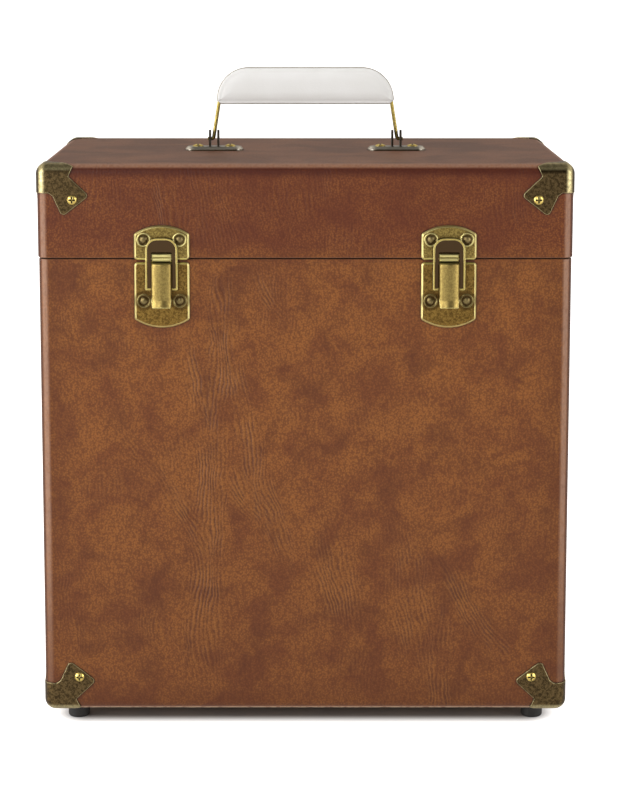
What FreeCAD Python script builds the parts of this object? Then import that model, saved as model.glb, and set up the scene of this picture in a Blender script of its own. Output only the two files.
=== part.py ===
"""Record carrying case for twelve-inch sleeves.

A tall box of covered board with a hinged lid, two draw latches on the front, a bail handle on
the lid, eight corner caps and four feet. Millimetres, +Z up, front face towards -Y. The origin
is under the middle of the whole object, on the surface that the feet stand on.
"""
import FreeCAD, Part
import math
import os

Vector = FreeCAD.Vector
os.makedirs("parts", exist_ok=True)

# Case, over the covering
case_width = 340.0
case_depth = 200.0
shell_height = 357.5
lid_height = 60.0
lid_overhang = 0.5
edge_radius = 6.5
seam_gap = 0.5
rim_radius = 0.9

# Walls
covering_thickness = 0.9
board_thickness = 7.0
lining_thickness = 0.8

# Collar that locates the lid on the body
collar_thickness = 1.8
collar_depth = 22.0
collar_rise = 9.0
collar_clearance = 0.9
collar_lead = 0.6

# Corner caps, with the outline of a cap's face in shares of its reach
cap_thickness = 0.7
cap_reach = 34.0
cap_tip_radius = 2.4
cap_notch_radius = 0.8
cap_face_shares = [(0.73, 0.00, 0), (0.62, 0.25, 1), (1.00, 0.61, 2), (0.50, 1.00, 2),
                   (0.325, 0.61, 1), (0.24, 0.555, 1), (0.00, 0.56, 0)]
cap_screw_share = 0.665
cap_flange_dip_share = 0.30

# Cap screws
cap_screw_head_radius = 3.2
cap_screw_head_height = 1.5
cap_screw_shank_radius = 1.3
cap_screw_length = 7.2
cross_width = 1.1
cross_share = 0.68
cross_depth = 0.9
cross_turn = 37.0

# Feet
foot_height = 10.0
foot_radius = 7.0
foot_edge_radius = 1.4
foot_inset = 20.0
foot_recess_radius = 3.7
foot_recess_depth = 2.6
foot_screw_head_radius = 3.2
foot_screw_head_height = 1.7
foot_screw_shank_radius = 1.5
foot_screw_length = 13.4

# Latches: places across the case, plates and rivets
latch_inset = 79.0
plate_width = 35.0
plate_height = 1.6
plate_bevel = 1.1
plate_corner_radius = 2.2
strike_height = 22.0
strike_arc_rise = 5.6
strike_drop = 0.7
base_length = 42.0
base_arc_rise = 5.4
base_drop = 2.4
rivet_offset = 11.4
strike_rivet_rise = 12.2
base_rivet_drop = 27.0
rivet_head_radius = 2.5
rivet_head_height = 1.2
rivet_shank_radius = 1.1
rivet_ring_radius = 4.0
rivet_ring_bead = 0.35
rivet_dimple_radius = 3.2
rivet_dimple_depth = 0.35

# Latches: hook on the strike plate
hook_width = 12.3
hook_reach = 2.1
hook_top = 2.9
hook_drop = 1.8
hook_edge_radius = 0.6
hook_groove_radius = 0.9
hook_groove_depth = 0.35

# Latches: lever, turned up on its pin
lever_width = 12.6
lever_top_drop = 2.2
lever_length = 28.4
lever_face = 7.4
lever_sheet = 0.9
lever_flange_clearance = 0.5
lever_flange_end = 18.0
lever_flange_slope = 5.5
lever_lip_length = 4.5
lever_lip_rise = 1.4
lever_lip_taper = 0.5
lever_end_radius = 1.6
lever_heel_radius = 1.2
lever_side_radius = 0.7
lever_pivot_drop = 4.0
lever_pivot_reach = 4.4
lever_pin_radius = 0.9
pivot_clearance = 0.05
ear_thickness = 0.8
ear_gap = 0.3
ear_radius = 1.75

# Latches: loop, carried by the lever
loop_width = 20.3
loop_leg = 3.5
loop_sheet = 1.2
loop_reach = 3.0
loop_top = 13.3
loop_window_top = 4.5
loop_arch_radius = 7.5
loop_window_radius = 1.2
loop_foot_radius = 0.7
loop_bead_width = 1.1
loop_bead_height = 0.6
loop_pivot_drop = 18.6
loop_end_margin = 1.1
loop_pin_radius = 0.8
loop_pin_overlap = 0.4
loop_pin_reach = 1.6

# Handle: brackets on the lid
bracket_offset = 61.5
bracket_width = 38.8
bracket_depth = 14.0
bracket_height = 2.6
bracket_bevel = 1.5
bracket_ear_thickness = 1.4
bracket_ear_gap = 4.2
bracket_ear_depth = 8.0
bracket_ear_height = 11.1
bracket_slot_width = 2.0
bracket_slot_length = 3.0
bracket_slot_depth = 1.2
bracket_screw_offset = 10.8
bracket_screw_head_radius = 4.0
bracket_screw_head_height = 1.7
bracket_screw_shank_radius = 1.6
bracket_screw_length = 9.8

# Handle: bent wire and grip
handle_pivot_rise = 5.0
wire_radius = 1.2
wire_bend_radius = 1.8
wire_tail = 3.9
wire_pivot_shift = 0.45
wire_splay = 7.3
wire_corner_radius = 21.0
grip_top_rise = 48.3
grip_height = 25.0
grip_margin = 0.6
grip_thickness = 6.4
grip_edge_radius = 2.2
grip_corner_radius = 4.0

# Hinges on the back, with a heel that stops the lid
hinge_inset = 75.0
hinge_width = 44.0
hinge_leaf_height = 20.0
hinge_leaf_thickness = 1.2
hinge_leaf_radius = 3.0
hinge_pin_radius = 1.3
hinge_knuckle_radius = 2.6
hinge_knuckle_width = 12.0
hinge_knuckle_gap = 0.3
hinge_leaf_gap = 0.35
hinge_rivet_rise = 12.5
hinge_rivet_offset = 14.0
hinge_heel_reach = 5.2
hinge_heel_thickness = 1.6
hinge_heel_width = 12.0
hinge_heel_clearance = 0.15
lid_open_angle = 105.0

# One overrun for all cuts, and how near two heights are to be the same
overrun = 5.0
same_height = 0.001

# Places across the case
latch_offset = case_width / 2 - latch_inset
hinge_offset = case_width / 2 - hinge_inset

# Heights
shell_bottom = foot_height
shell_top = shell_bottom + shell_height
seam = shell_top - lid_height
body_rim = seam - seam_gap / 2
lid_rim = seam + seam_gap / 2
wall = covering_thickness + board_thickness + lining_thickness

# Places front to back: the case sits so that the whole object is centred on the origin
latch_reach = lever_face + lever_lip_rise
heel_lean = hinge_heel_thickness / 2
hinge_leaf_face = hinge_leaf_thickness - lid_overhang
heel_contact = hinge_knuckle_radius - hinge_leaf_face - hinge_heel_clearance
heel_past = math.degrees(math.asin(heel_contact / math.hypot(hinge_heel_reach, heel_lean))
                         - math.atan2(heel_lean, hinge_heel_reach))
heel_rise_angle = lid_open_angle - 90 - heel_past
heel_back = (hinge_heel_reach * math.cos(math.radians(heel_rise_angle))
             + heel_lean * math.sin(math.radians(abs(heel_rise_angle))))
hinge_reach = hinge_knuckle_radius + heel_back
case_middle = (latch_reach - hinge_reach) / 2
lid_front = case_middle - case_depth / 2
lid_back = case_middle + case_depth / 2
body_width = case_width - 2 * lid_overhang
body_depth = case_depth - 2 * lid_overhang
body_front = case_middle - body_depth / 2
hinge_axis = lid_back + hinge_knuckle_radius


def block(x0, x1, y0, y1, z0, z1):
    """A plain box between two corners."""
    return Part.makeBox(x1 - x0, y1 - y0, z1 - z0, Vector(x0, y0, z0))


def centred_block(width, depth, z0, z1):
    """A plain box about the middle of the case."""
    return block(-width / 2, width / 2, case_middle - depth / 2, case_middle + depth / 2, z0, z1)


def upright(edge):
    """True for a straight edge along Z."""
    ends = [vertex.Point for vertex in edge.Vertexes]
    return len(ends) == 2 and abs(ends[0].z - ends[1].z) > edge.Length / 2


def level(edge, height):
    """True for an edge that lies at one height."""
    return all(abs(vertex.Z - height) < same_height for vertex in edge.Vertexes)


def rounded_block(width, depth, rim, closed, radius, rim_round=0):
    """A box rounded on its upright edges and round its closed end, and a little at its rim."""
    solid = centred_block(width, depth, min(rim, closed), max(rim, closed))
    edges = [edge for edge in solid.Edges if upright(edge) or level(edge, closed)]
    solid = solid.makeFillet(radius, edges)
    if rim_round:
        solid = solid.makeFillet(rim_round, [edge for edge in solid.Edges if level(edge, rim)])
    return solid


def outline(points):
    """A closed flat wire through (x, y, radius) corners, with each corner rounded by its radius."""
    edges = []
    count = len(points)
    spots = [Vector(x, y, 0) for x, y, radius in points]
    entries = []
    for index in range(count):
        corner = spots[index]
        radius = points[index][2]
        back = (spots[index - 1] - corner).normalize()
        ahead = (spots[(index + 1) % count] - corner).normalize()
        half = back.getAngle(ahead) / 2
        trim = radius / math.tan(half)
        middle = (back + ahead).normalize()
        tip = corner + middle * (radius / math.sin(half) - radius)
        entries.append((corner + back * trim, tip, corner + ahead * trim, radius))
    for index in range(count):
        start, tip, end, radius = entries[index]
        if radius:
            edges.append(Part.Arc(start, tip, end).toShape())
        following = entries[(index + 1) % count][0]
        edges.append(Part.makeLine(end, following))
    return Part.Wire(Part.__sortEdges__(edges))


def upright_prism(points, near, far):
    """An outline in X and Z, drawn out along Y from near to far."""
    face = Part.Face(outline(points))
    face.rotate(Vector(0, 0, 0), Vector(1, 0, 0), 90)
    face.translate(Vector(0, near, 0))
    return face.extrude(Vector(0, far - near, 0))


def side_prism(points, near, far):
    """An outline in Y and Z, drawn out along X from near to far."""
    face = Part.Face(outline(points))
    face.Placement = FreeCAD.Placement(Vector(near, 0, 0), FreeCAD.Rotation(Vector(1, 1, 1), 120))
    return face.extrude(Vector(far - near, 0, 0))


def flat_prism(points, low, high):
    """An outline in X and Y, drawn out along Z from low to high."""
    face = Part.Face(outline(points))
    face.translate(Vector(0, 0, low))
    return face.extrude(Vector(0, 0, high - low))


def rod(start, end, radius):
    """A round rod between two points."""
    return Part.makeCylinder(radius, (end - start).Length, start, end - start)


def dome(radius, height):
    """A shallow round head on the XY plane."""
    ball = (radius ** 2 + height ** 2) / (2 * height)
    half = math.asin(radius / ball) / 2
    rise = height - ball * (1 - math.cos(half))
    arc = Part.Arc(Vector(radius, 0, 0), Vector(ball * math.sin(half), 0, rise),
                   Vector(0, 0, height)).toShape()
    base = Part.makeLine(Vector(0, 0, 0), Vector(radius, 0, 0))
    axis = Part.makeLine(Vector(0, 0, height), Vector(0, 0, 0))
    face = Part.Face(Part.Wire([base, arc, axis]))
    return face.revolve(Vector(0, 0, 0), Vector(0, 0, 1), 360)


def seated(shape, spot, outward, turn=0):
    """A shape made on the XY plane, moved so that its Z axis leaves the spot outward."""
    aim = FreeCAD.Rotation(Vector(0, 0, 1), outward)
    spin = FreeCAD.Rotation(Vector(0, 0, 1), turn)
    shape.Placement = FreeCAD.Placement(spot, aim * spin)
    return shape


def cross_screw(head_radius, head_height, shank_radius, length, turn):
    """A domed cross-head screw whose head sits on the XY plane."""
    reach = head_radius * cross_share
    head = dome(head_radius, head_height)
    low = head_height - cross_depth
    slot = Part.makeBox(2 * reach, cross_width, head_height, Vector(-reach, -cross_width / 2, low))
    head = head.cut(slot)
    slot.rotate(Vector(0, 0, 0), Vector(0, 0, 1), 90)
    head = head.cut(slot)
    screw = head.fuse(rod(Vector(0, 0, -length), Vector(0, 0, 0), shank_radius)).removeSplitter()
    screw.rotate(Vector(0, 0, 0), Vector(0, 0, 1), turn)
    return screw


def rivet(head_radius, head_height, shank_radius, length):
    """A domed rivet whose head sits on the XY plane."""
    shank = rod(Vector(0, 0, -length), Vector(0, 0, 0), shank_radius)
    return dome(head_radius, head_height).fuse(shank).removeSplitter()


def drilled(shape, holes):
    """A shape with (spot, outward, radius, depth) holes."""
    for spot, outward, radius, depth in holes:
        shape = shape.cut(rod(spot + outward * overrun, spot - outward * depth, radius))
    return shape


def save(shape, name):
    """Write one piece, or one group of like pieces, to its own file."""
    if len(shape.Solids) == 1:
        shape = shape.Solids[0]
    shape.exportStep("parts/" + name + ".step")


front = Vector(0, -1, 0)
back = Vector(0, 1, 0)
up = Vector(0, 0, 1)
down = Vector(0, 0, -1)
sides = [("left", -1), ("right", 1)]


# Shell blocks at the level of the covering, the boards, the lining and the hollow
def shell_levels(width, depth, rim, closed):
    """Blocks for the outside, the boards and the hollows of one half of the case."""
    inward = 1 if rim > closed else -1
    levels = {"outside": rounded_block(width, depth, rim, closed, edge_radius, rim_radius)}
    skin = covering_thickness
    levels["boards"] = rounded_block(width - 2 * skin, depth - 2 * skin, rim - inward * skin,
                                     closed + inward * skin, edge_radius - skin)
    inset = skin + board_thickness
    past = rim + inward * overrun
    for name, depth_in in [("bay", inset), ("hollow", inset + lining_thickness)]:
        start, end = sorted([closed + inward * depth_in, past])
        levels[name] = centred_block(width - 2 * depth_in, depth - 2 * depth_in, start, end)
    return levels


body_levels = shell_levels(body_width, body_depth, body_rim, shell_bottom)
lid_levels = shell_levels(case_width, case_depth, lid_rim, shell_top)


# Fastener places, as (spot, outward) on the covering
def corner_spots(width, depth, edge, step):
    """Screw places on the front, back and side lugs of the four caps at one end of the case."""
    reach = cap_reach * cap_screw_share
    height = edge + step * reach
    spots = []
    for name, side in sides:
        for facing, outward in [(-1, front), (1, back)]:
            face = case_middle + facing * depth / 2
            spots.append((Vector(side * (width / 2 - reach), face, height), outward))
            spots.append((Vector(side * width / 2, face - facing * reach, height), Vector(side, 0, 0)))
    return spots


lid_cap_spots = corner_spots(case_width, case_depth, shell_top, -1)
body_cap_spots = corner_spots(body_width, body_depth, shell_bottom, 1)
strike_spots = {}
base_spots = {}
bracket_spots = {}
hinge_lid_spots = {}
hinge_body_spots = {}
for name, side in sides:
    middle = side * latch_offset
    pair = [middle - rivet_offset, middle + rivet_offset]
    strike_spots[name] = [(Vector(x, lid_front, seam + strike_rivet_rise), front) for x in pair]
    base_spots[name] = [(Vector(x, body_front, seam - base_rivet_drop), front) for x in pair]
    middle = side * bracket_offset
    pair = [middle - bracket_screw_offset, middle + bracket_screw_offset]
    bracket_spots[name] = [(Vector(x, case_middle, shell_top), up) for x in pair]
    middle = side * hinge_offset
    row = [middle - hinge_rivet_offset, middle, middle + hinge_rivet_offset]
    hinge_lid_spots[name] = [(Vector(x, lid_back, seam + hinge_rivet_rise), back) for x in row]
    hinge_body_spots[name] = [(Vector(x, lid_back - lid_overhang, seam - hinge_rivet_rise), back)
                              for x in row]
foot_spots = []
for name, side in sides:
    for facing in (-1, 1):
        x = side * (body_width / 2 - foot_inset)
        y = case_middle + facing * (body_depth / 2 - foot_inset)
        foot_spots.append((Vector(x, y, shell_bottom), down))

rivet_depth = covering_thickness + board_thickness


def holes(spots, radius, depth):
    """Holes of one size at a list of places."""
    return [(spot, outward, radius, depth) for spot, outward in spots]


lid_holes = holes(lid_cap_spots, cap_screw_shank_radius, cap_screw_length)
body_holes = holes(body_cap_spots, cap_screw_shank_radius, cap_screw_length)
for name, side in sides:
    lid_holes += holes(strike_spots[name], rivet_shank_radius, rivet_depth)
    body_holes += holes(base_spots[name], rivet_shank_radius, rivet_depth)
    lid_holes += holes(hinge_lid_spots[name], rivet_shank_radius, rivet_depth)
    body_holes += holes(hinge_body_spots[name], rivet_shank_radius, rivet_depth)
    lid_holes += holes(bracket_spots[name], bracket_screw_shank_radius,
                       bracket_screw_length - bracket_height)
body_holes += holes(foot_spots, foot_screw_shank_radius,
                    foot_screw_length - foot_height + foot_recess_depth)


# Boards, covering and lining of one half
def make_half(prefix, levels, width, depth, closed, end_name, hole_list):
    """Five boards, the covering over them and the lining inside them."""
    case = drilled(levels["boards"].cut(levels["bay"]), hole_list)
    inset = covering_thickness + board_thickness
    inner_width = width / 2 - inset
    inner_depth = depth / 2 - inset
    low = shell_bottom - overrun
    high = shell_top + overrun
    y_in = [case_middle - inner_depth, case_middle + inner_depth]
    y_out = [case_middle - depth, case_middle + depth]
    save(case.common(block(-width, -inner_width, y_out[0], y_out[1], low, high)),
         prefix + "_left_board")
    save(case.common(block(inner_width, width, y_out[0], y_out[1], low, high)),
         prefix + "_right_board")
    save(case.common(block(-inner_width, inner_width, y_out[0], y_in[0], low, high)),
         prefix + "_front_board")
    save(case.common(block(-inner_width, inner_width, y_in[1], y_out[1], low, high)),
         prefix + "_back_board")
    save(case.common(block(-inner_width, inner_width, y_in[0], y_in[1], low, high)),
         prefix + "_" + end_name + "_board")
    covering = levels["outside"].cut(levels["boards"]).cut(levels["bay"])
    save(drilled(covering, hole_list), prefix + "_covering")
    lining = levels["bay"].cut(levels["hollow"]).common(levels["outside"])
    save(lining, prefix + "_lining")


make_half("body", body_levels, body_width, body_depth, shell_bottom, "bottom", body_holes)
make_half("lid", lid_levels, case_width, case_depth, shell_top, "top", lid_holes)


# Collar: seated inside the body's lining, its upper part clear of the lid's lining
def make_collar():
    inner_width = body_width - 2 * wall - 2 * collar_thickness
    inner_depth = body_depth - 2 * wall - 2 * collar_thickness
    low = body_rim - collar_depth
    high = body_rim + collar_rise
    seat = centred_block(body_width - 2 * wall, body_depth - 2 * wall, low, body_rim)
    neck_width = case_width - 2 * wall - 2 * collar_clearance
    neck_depth = case_depth - 2 * wall - 2 * collar_clearance
    neck = centred_block(neck_width, neck_depth, body_rim - collar_lead, high)
    neck = neck.makeChamfer(collar_lead, [edge for edge in neck.Edges if level(edge, high)])
    ring = seat.fuse(neck)
    ring = ring.cut(centred_block(inner_width, inner_depth, low - overrun, high + overrun))
    save(ring.removeSplitter(), "locating_collar")


make_collar()


# Corner caps: a sheet that follows the rounded corner, cut to three faces that meet halfway round its bends
cap_bend = (edge_radius + cap_thickness) * (1 - math.sqrt(1 / 2))
cap_span = cap_reach + overrun


def cap_face(corner_x, corner_z, side, step):
    """Corners of a cap's face, from the corner of the case."""
    rounds = [0, cap_notch_radius, cap_tip_radius]
    points = [(corner_x, corner_z, 0)]
    for across, along, kind in cap_face_shares:
        points.append((corner_x - side * across * cap_reach,
                       corner_z + step * along * cap_reach, rounds[kind]))
    return points


def cap_flange(corner_x, corner_y, side, facing):
    """Corners of the three-cornered flange on the end of the case, which meets the face on the bend."""
    start, following = cap_face_shares[0], cap_face_shares[1]
    narrowing = (start[0] - following[0]) / (following[1] - start[1])
    across = cap_reach * start[0] - cap_bend * narrowing
    dip = cap_flange_dip_share * cap_reach
    arm = (across - cap_bend) / (1 - cap_bend / dip)
    return [(corner_x, corner_y, 0), (corner_x - side * arm, corner_y, 0),
            (corner_x - side * dip, corner_y - facing * dip, cap_tip_radius),
            (corner_x, corner_y - facing * arm, 0)]


def cap_mitre(corner, corner_z, way, step):
    """Corners of the wedge that a face keeps to, up to the plane that halves the bend to the end."""
    return [(corner + way * overrun, corner_z - step * overrun, 0),
            (corner - way * cap_span, corner_z + step * cap_span, 0),
            (corner + way * overrun, corner_z + step * cap_span, 0)]


def make_caps(prefix, width, depth, rim, closed, outside, screw_spots):
    step = 1 if rim > closed else -1
    grown = rounded_block(width + 2 * cap_thickness, depth + 2 * cap_thickness, rim,
                          closed - step * cap_thickness, edge_radius + cap_thickness)
    sheet = grown.cut(outside)
    sheet = drilled(sheet, holes(screw_spots, cap_screw_shank_radius, cap_thickness))
    corner_z = closed - step * cap_thickness
    for name, side in sides:
        corner_x = side * (width / 2 + cap_thickness)
        for where, facing in [("front", -1), ("back", 1)]:
            corner_y = case_middle + facing * (depth / 2 + cap_thickness)
            inner_y = corner_y - facing * edge_radius
            inner_x = corner_x - side * edge_radius
            inner_z = corner_z + step * edge_radius
            front_wedge = side_prism(cap_mitre(corner_y, corner_z, facing, step),
                                     corner_x + side * overrun, corner_x - side * cap_span)
            flank_wedge = upright_prism(cap_mitre(corner_x, corner_z, side, step),
                                        corner_y + facing * overrun, corner_y - facing * cap_span)
            face = upright_prism(cap_face(corner_x, corner_z, side, step), corner_y, inner_y)
            flank = side_prism(cap_face(corner_y, corner_z, facing, step), corner_x, inner_x)
            flange = flat_prism(cap_flange(corner_x, corner_y, side, facing), corner_z, inner_z)
            sides_only = face.common(front_wedge).fuse(flank.common(flank_wedge))
            end_only = flange.cut(front_wedge).cut(flank_wedge)
            cap = sheet.common(sides_only.fuse(end_only)).removeSplitter()
            save(cap, prefix + "_cap_" + where + "_" + name)
    screws = []
    for index, (spot, outward) in enumerate(screw_spots):
        screw = cross_screw(cap_screw_head_radius, cap_screw_head_height, cap_screw_shank_radius,
                            cap_screw_length + cap_thickness, cross_turn * index)
        screws.append(seated(screw, spot + outward * cap_thickness, outward))
    save(Part.makeCompound(screws), prefix + "_cap_screws")


make_caps("lid", case_width, case_depth, lid_rim, shell_top, lid_levels["outside"], lid_cap_spots)
make_caps("body", body_width, body_depth, body_rim, shell_bottom, body_levels["outside"],
          body_cap_spots)


# Feet and their screws
def make_feet():
    foot = Part.makeCylinder(foot_radius, foot_height)
    foot = foot.makeFillet(foot_edge_radius, [edge for edge in foot.Edges if level(edge, foot_height)])
    recess = rod(Vector(0, 0, foot_height - foot_recess_depth), Vector(0, 0, foot_height + overrun),
                 foot_recess_radius)
    foot = foot.cut(recess).cut(rod(Vector(0, 0, 0), Vector(0, 0, foot_height),
                                    foot_screw_shank_radius))
    screws = []
    names = ["front_left", "back_left", "front_right", "back_right"]
    for index, (spot, outward) in enumerate(foot_spots):
        save(seated(foot.copy(), spot, outward), "foot_" + names[index])
        screw = cross_screw(foot_screw_head_radius, foot_screw_head_height,
                            foot_screw_shank_radius, foot_screw_length, cross_turn * index)
        seat = spot + outward * (foot_height - foot_recess_depth)
        screws.append(seated(screw, seat, outward))
    save(Part.makeCompound(screws), "foot_screws")


make_feet()


# Latch plates: a bevelled plate with one arched end and embossed rings round its rivets
def latch_plate(middle, face, low, high, rise, arch_up, spots):
    """A plate on the front, standing on the plane y = face."""
    half = plate_width / 2
    radius = (half ** 2 + rise ** 2) / (2 * rise)
    plate = block(middle - half, middle + half, face - plate_height, face, low, high)
    centre = high - radius if arch_up else low + radius
    disc = rod(Vector(middle, face + overrun, centre),
               Vector(middle, face - plate_height - overrun, centre), radius)
    plate = plate.common(disc)
    corners = [edge for edge in plate.Edges
               if len(edge.Vertexes) == 2
               and abs(edge.Vertexes[0].Y - edge.Vertexes[1].Y) > plate_height / 2]
    plate = plate.makeFillet(plate_corner_radius, corners)
    rim = [edge for edge in plate.Edges
           if all(abs(vertex.Y - face + plate_height) < plate_height / 2 for vertex in edge.Vertexes)]
    plate = plate.makeChamfer(plate_bevel, rim)
    for spot, outward in spots:
        seat = Vector(spot.x, face - plate_height, spot.z)
        ring = Part.makeTorus(rivet_ring_radius, rivet_ring_bead, seat, front)
        plate = plate.fuse(ring.common(rod(seat, seat + front * overrun, half)))
        plate = plate.cut(rod(seat + front * overrun, seat - front * rivet_dimple_depth,
                              rivet_dimple_radius))
        plate = plate.cut(rod(seat + front * overrun, seat - front * overrun, rivet_shank_radius))
    return plate


def make_strike(name, side):
    middle = side * latch_offset
    low = seam - strike_drop
    plate = latch_plate(middle, lid_front, low, low + strike_height, strike_arc_rise, True,
                        strike_spots[name])
    half = hook_width / 2
    hook = block(middle - half, middle + half, lid_front - hook_reach,
                 lid_front - plate_height / 2, seam - hook_drop, seam + hook_top)
    lip = lid_front - hook_reach
    edges = [edge for edge in hook.Edges
             if all(abs(vertex.Y - lip) < hook_edge_radius / 2 for vertex in edge.Vertexes)]
    hook = hook.makeFillet(hook_edge_radius, edges)
    trough_middle = seam + (hook_top - hook_drop) / 2
    trough_y = lip - hook_groove_radius + hook_groove_depth
    trough = rod(Vector(middle - half - overrun, trough_y, trough_middle),
                 Vector(middle + half + overrun, trough_y, trough_middle), hook_groove_radius)
    save(plate.fuse(hook.cut(trough)), "latch_strike_" + name)


def make_base(name, side):
    middle = side * latch_offset
    high = seam - base_drop
    plate = latch_plate(middle, body_front, high - base_length, high, base_arc_rise, False,
                        base_spots[name])
    axis_y = lid_front - lever_pivot_reach
    axis_z = seam - lever_pivot_drop
    inner = lever_width / 2 - lever_sheet - ear_gap - ear_thickness
    root = body_front - plate_height / 2
    for way in (-1, 1):
        start, end = sorted([middle + way * inner, middle + way * (inner + ear_thickness)])
        post = block(start, end, axis_y, root, axis_z - ear_radius, axis_z)
        ear = post.fuse(rod(Vector(start, axis_y, axis_z), Vector(end, axis_y, axis_z), ear_radius))
        plate = plate.fuse(ear)
    hole = rod(Vector(middle - lever_width, axis_y, axis_z), Vector(middle + lever_width, axis_y, axis_z),
               lever_pin_radius + pivot_clearance)
    save(plate.cut(hole).removeSplitter(), "latch_base_" + name)


def make_rivets(spots, lift, length, name):
    """Rivets whose heads stand on a plate that is lift high."""
    made = []
    for spot, outward in spots:
        made.append(seated(rivet(rivet_head_radius, rivet_head_height, rivet_shank_radius,
                                 length + lift), spot + outward * lift, outward))
    save(Part.makeCompound(made), name)


# Lever: a folded channel with a flared finger lip, and its pin
def make_lever(name, side):
    middle = side * latch_offset
    top = seam - lever_top_drop
    bottom = top - lever_length
    lip_start = bottom + lever_lip_length
    flange = lid_front - plate_height + lid_overhang - lever_flange_clearance
    face = lid_front - lever_face
    inside = face + lever_sheet
    lip = face - lever_lip_rise
    flange_low = top - lever_flange_end
    profile = [(flange, top, lever_heel_radius), (face, top, lever_end_radius), (face, lip_start, 0),
               (lip, bottom, 0), (lip + lever_sheet, bottom, 0), (inside, lip_start, 0),
               (inside, flange_low - lever_flange_slope, 0), (flange, flange_low, 0)]
    half = lever_width / 2
    lever = side_prism(profile, middle - half, middle + half)
    edges = [edge for edge in lever.Edges
             if upright(edge) and abs(edge.Vertexes[0].Y - face) < lever_sheet / 2
             and abs(edge.Vertexes[1].Y - face) < lever_sheet / 2]
    lever = lever.makeFillet(lever_side_radius, edges)
    tail = half - lever_lip_taper
    shape = [(middle - half, top + overrun, 0), (middle - half, lip_start, 0),
             (middle - tail, bottom, lever_lip_taper), (middle + tail, bottom, lever_lip_taper),
             (middle + half, lip_start, 0), (middle + half, top + overrun, 0)]
    lever = lever.common(upright_prism(shape, flange + overrun, lip - overrun))
    channel = block(middle - half + lever_sheet, middle + half - lever_sheet, inside,
                    flange + overrun, bottom - overrun, top + overrun)
    lever = lever.cut(channel)
    axis_y = lid_front - lever_pivot_reach
    axis_z = seam - lever_pivot_drop
    start = Vector(middle - half, axis_y, axis_z)
    end = Vector(middle + half, axis_y, axis_z)
    pin = rod(start, end, lever_pin_radius)
    lever = lever.cut(pin)
    loop_y = lid_front - loop_reach
    loop_z = seam - loop_pivot_drop
    lever = lever.cut(rod(Vector(middle - lever_width, loop_y, loop_z),
                          Vector(middle + lever_width, loop_y, loop_z),
                          loop_pin_radius + pivot_clearance))
    save(lever, "latch_lever_" + name)
    save(pin, "latch_lever_pin_" + name)


# Loop: an arched plate with a raised bead, a window, and two short pins turned inwards
def make_loop(name, side):
    middle = side * latch_offset
    half = loop_width / 2
    rear = lid_front - loop_reach + loop_sheet / 2
    face = rear - loop_sheet
    crest = face - loop_bead_height
    low = seam - loop_pivot_drop - loop_end_margin
    high = seam + loop_top

    def arch(inset, bottom, foot):
        reach = half - inset
        radius = loop_arch_radius - inset
        return [(middle - reach, bottom, foot), (middle - reach, high - inset, radius),
                (middle + reach, high - inset, radius), (middle + reach, bottom, foot)]

    plate = upright_prism(arch(0, low, loop_foot_radius), rear, face)
    bead = upright_prism(arch(0, low, loop_foot_radius), face, crest)
    inner = loop_bead_width
    bead = bead.cut(upright_prism(arch(inner, low + inner, 0), face + overrun, crest - overrun))
    gap = half - loop_leg
    window = [(middle - gap, low - overrun, 0), (middle - gap, seam + loop_window_top, loop_window_radius),
              (middle + gap, seam + loop_window_top, loop_window_radius), (middle + gap, low - overrun, 0)]
    loop = plate.fuse(bead).cut(upright_prism(window, rear + overrun, crest - overrun))
    axis_y = lid_front - loop_reach
    axis_z = seam - loop_pivot_drop
    for way in (-1, 1):
        start = Vector(middle + way * (gap + loop_pin_overlap), axis_y, axis_z)
        end = Vector(middle + way * (gap - loop_pin_reach), axis_y, axis_z)
        loop = loop.fuse(rod(start, end, loop_pin_radius))
    save(loop.removeSplitter(), "latch_loop_" + name)


for name, side in sides:
    make_strike(name, side)
    make_rivets(strike_spots[name], plate_height - rivet_dimple_depth, rivet_depth,
                "strike_rivets_" + name)
    make_base(name, side)
    make_rivets(base_spots[name], plate_height - rivet_dimple_depth, rivet_depth,
                "base_rivets_" + name)
    make_lever(name, side)
    make_loop(name, side)


# Handle brackets: a bevelled oblong plate with two ears raised from its middle
handle_axis_z = shell_top + bracket_height + handle_pivot_rise
wire_pivot_offset = bracket_offset + wire_pivot_shift


def make_bracket(name, side):
    middle = side * bracket_offset
    half = bracket_width / 2
    reach = bracket_depth / 2
    corners = [(middle - half, case_middle - reach, reach - bracket_bevel / 2),
               (middle + half, case_middle - reach, reach - bracket_bevel / 2),
               (middle + half, case_middle + reach, reach - bracket_bevel / 2),
               (middle - half, case_middle + reach, reach - bracket_bevel / 2)]
    top = shell_top + bracket_height
    plate = flat_prism(corners, shell_top, top)
    plate = plate.makeChamfer(bracket_bevel, [edge for edge in plate.Edges if level(edge, top)])
    ear_reach = bracket_ear_depth / 2
    crown = top + bracket_ear_height - ear_reach
    for way in (-1, 1):
        inner = middle + way * bracket_ear_gap / 2
        start, end = sorted([inner, inner + way * bracket_ear_thickness])
        ear = block(start, end, case_middle - ear_reach, case_middle + ear_reach,
                    top - bracket_slot_depth, crown)
        ear = ear.fuse(rod(Vector(start, case_middle, crown), Vector(end, case_middle, crown), ear_reach))
        plate = plate.fuse(ear)
        slot_middle = (start + end) / 2
        slot_start = case_middle - ear_reach
        slot = block(slot_middle - bracket_slot_width / 2, slot_middle + bracket_slot_width / 2,
                     slot_start - bracket_slot_length / 2, slot_start, top - bracket_slot_depth,
                     top + overrun)
        plate = plate.cut(slot)
    span = bracket_ear_gap / 2 + bracket_ear_thickness
    plate = plate.cut(rod(Vector(middle - span, case_middle, handle_axis_z),
                          Vector(middle + span, case_middle, handle_axis_z),
                          wire_radius + pivot_clearance))
    plate = drilled(plate, holes(bracket_spots[name], bracket_screw_shank_radius, overrun))
    save(plate.removeSplitter(), "handle_bracket_" + name)


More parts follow.
